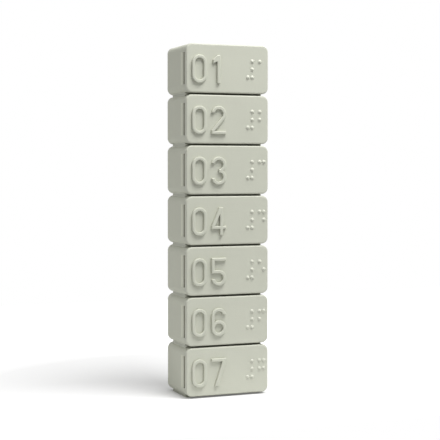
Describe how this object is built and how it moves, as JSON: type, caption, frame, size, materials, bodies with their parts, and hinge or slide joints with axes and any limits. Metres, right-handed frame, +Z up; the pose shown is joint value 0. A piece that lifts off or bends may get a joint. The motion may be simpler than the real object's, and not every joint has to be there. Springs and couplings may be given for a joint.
{
  "type": "weekly pill box",
  "caption": "Upright column of rounded day boxes for tablets, each with its own side-hinged lid, nail groove, raised number and raised dots.",
  "frame": {"origin": "middle of the face that the column stands on, half way across the boxes and half way from lid face to back", "axes": "+X to the right along the lids, towards the hinges; +Y from the lids to the back; +Z up the column"},
  "size_m": [0.0489, 0.0315, 0.189],
  "materials": {
    "tub_plastic": "fine moulded matte, pale grey-green",
    "lid_plastic": "fine moulded matte, pale grey-green",
    "link_plastic": "fine moulded matte, pale grey-green",
    "pin_steel": "drawn wire"
  },
  "bodies": {
    "column": {"day_1_tub": "tub_plastic", "day_2_tub": "tub_plastic", "day_3_tub": "tub_plastic", "day_4_tub": "tub_plastic", "day_5_tub": "tub_plastic", "day_6_tub": "tub_plastic", "day_7_tub": "tub_plastic", "link_plate_1_2": "link_plastic", "link_plate_2_3": "link_plastic", "link_plate_3_4": "link_plastic", "link_plate_4_5": "link_plastic", "link_plate_5_6": "link_plastic", "link_plate_6_7": "link_plastic", "foot_plate": "link_plastic", "day_1_hinge_pin": "pin_steel", "day_2_hinge_pin": "pin_steel", "day_3_hinge_pin": "pin_steel", "day_4_hinge_pin": "pin_steel", "day_5_hinge_pin": "pin_steel", "day_6_hinge_pin": "pin_steel", "day_7_hinge_pin": "pin_steel"},
    "day_1_lid": {"day_1_lid": "lid_plastic"},
    "day_2_lid": {"day_2_lid": "lid_plastic"},
    "day_3_lid": {"day_3_lid": "lid_plastic"},
    "day_4_lid": {"day_4_lid": "lid_plastic"},
    "day_5_lid": {"day_5_lid": "lid_plastic"},
    "day_6_lid": {"day_6_lid": "lid_plastic"},
    "day_7_lid": {"day_7_lid": "lid_plastic"}
  },
  "joints": [
    {"name": "day_1_lid_hinge", "type": "hinge", "parent": "column", "child": "day_1_lid", "pos_m": [0.0239, -0.0106, 0.176], "axis": [0, 0, 1], "range_deg": [0, 180]},
    {"name": "day_2_lid_hinge", "type": "hinge", "parent": "column", "child": "day_2_lid", "pos_m": [0.0239, -0.0106, 0.149], "axis": [0, 0, 1], "range_deg": [0, 180]},
    {"name": "day_3_lid_hinge", "type": "hinge", "parent": "column", "child": "day_3_lid", "pos_m": [0.0239, -0.0106, 0.122], "axis": [0, 0, 1], "range_deg": [0, 180]},
    {"name": "day_4_lid_hinge", "type": "hinge", "parent": "column", "child": "day_4_lid", "pos_m": [0.0239, -0.0106, 0.095], "axis": [0, 0, 1], "range_deg": [0, 180]},
    {"name": "day_5_lid_hinge", "type": "hinge", "parent": "column", "child": "day_5_lid", "pos_m": [0.0239, -0.0106, 0.068], "axis": [0, 0, 1], "range_deg": [0, 180]},
    {"name": "day_6_lid_hinge", "type": "hinge", "parent": "column", "child": "day_6_lid", "pos_m": [0.0239, -0.0106, 0.041], "axis": [0, 0, 1], "range_deg": [0, 180]},
    {"name": "day_7_lid_hinge", "type": "hinge", "parent": "column", "child": "day_7_lid", "pos_m": [0.0239, -0.0106, 0.014], "axis": [0, 0, 1], "range_deg": [0, 180]}
  ]
}
